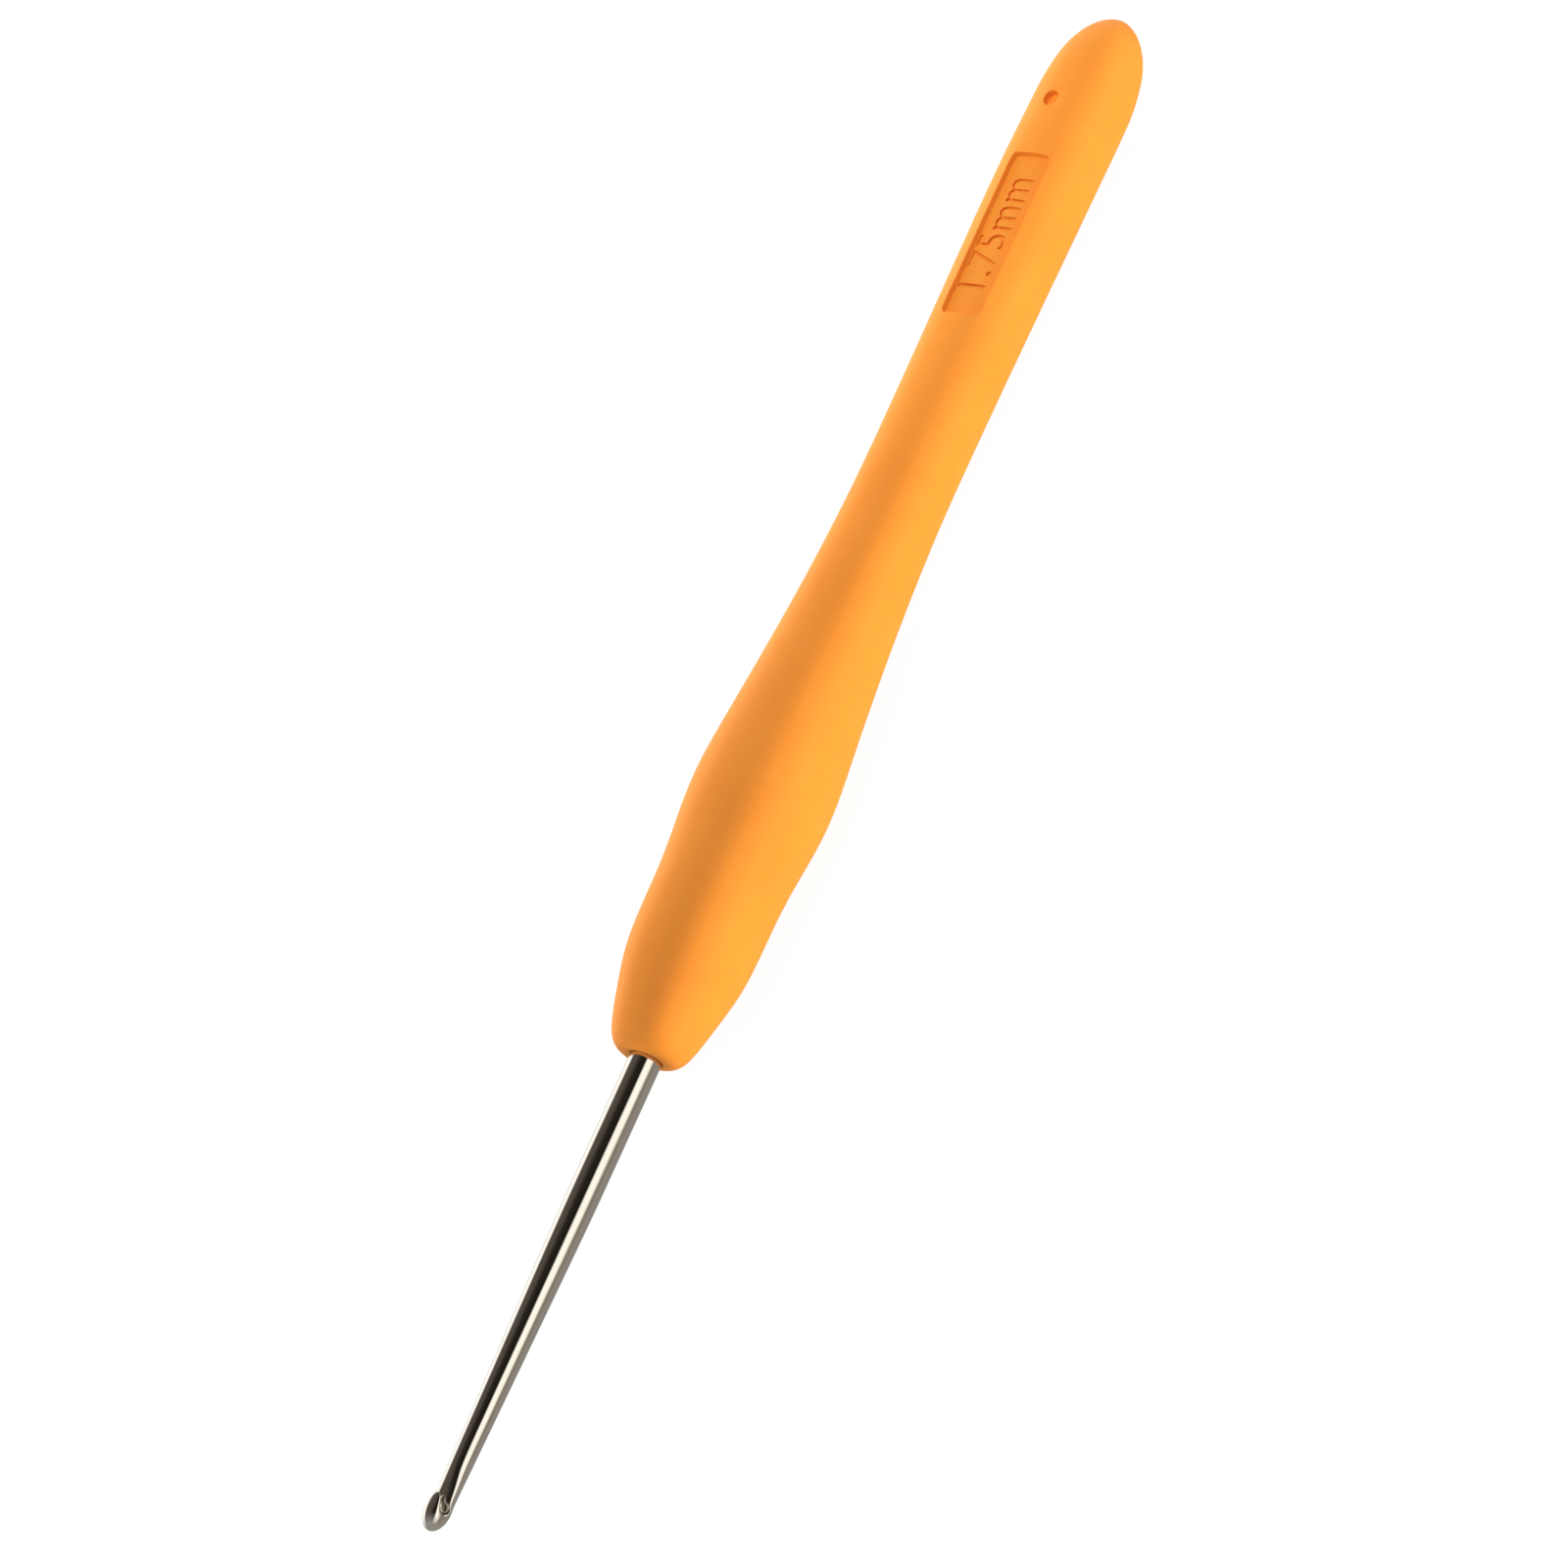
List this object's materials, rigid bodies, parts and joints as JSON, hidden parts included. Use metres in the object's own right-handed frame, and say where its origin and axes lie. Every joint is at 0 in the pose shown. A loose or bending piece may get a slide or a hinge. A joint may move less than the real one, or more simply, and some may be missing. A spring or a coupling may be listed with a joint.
{
  "type": "crochet hook",
  "caption": "Slim polished steel crochet hook with a soft, waisted orange grip, a sunk size plate and a rounded tail.",
  "frame": {"origin": "on the steel shaft's axis, where the shaft leaves the nose of the grip", "axes": "+X along the shaft towards the hook tip; +Z out of the thumb face, the side that the hook's mouth opens on; +Y to the left of that, seen from the tail"},
  "size_m": [0.13, 0.0108, 0.0094],
  "materials": {
    "polished_steel": "polished, nickel plated",
    "core_plastic": "moulded polypropylene",
    "soft_grip": "matte moulded thermoplastic rubber"
  },
  "bodies": {
    "root": {"hook_shaft": "polished_steel", "handle_core": "core_plastic", "grip_skin": "soft_grip"}
  },
  "joints": []
}
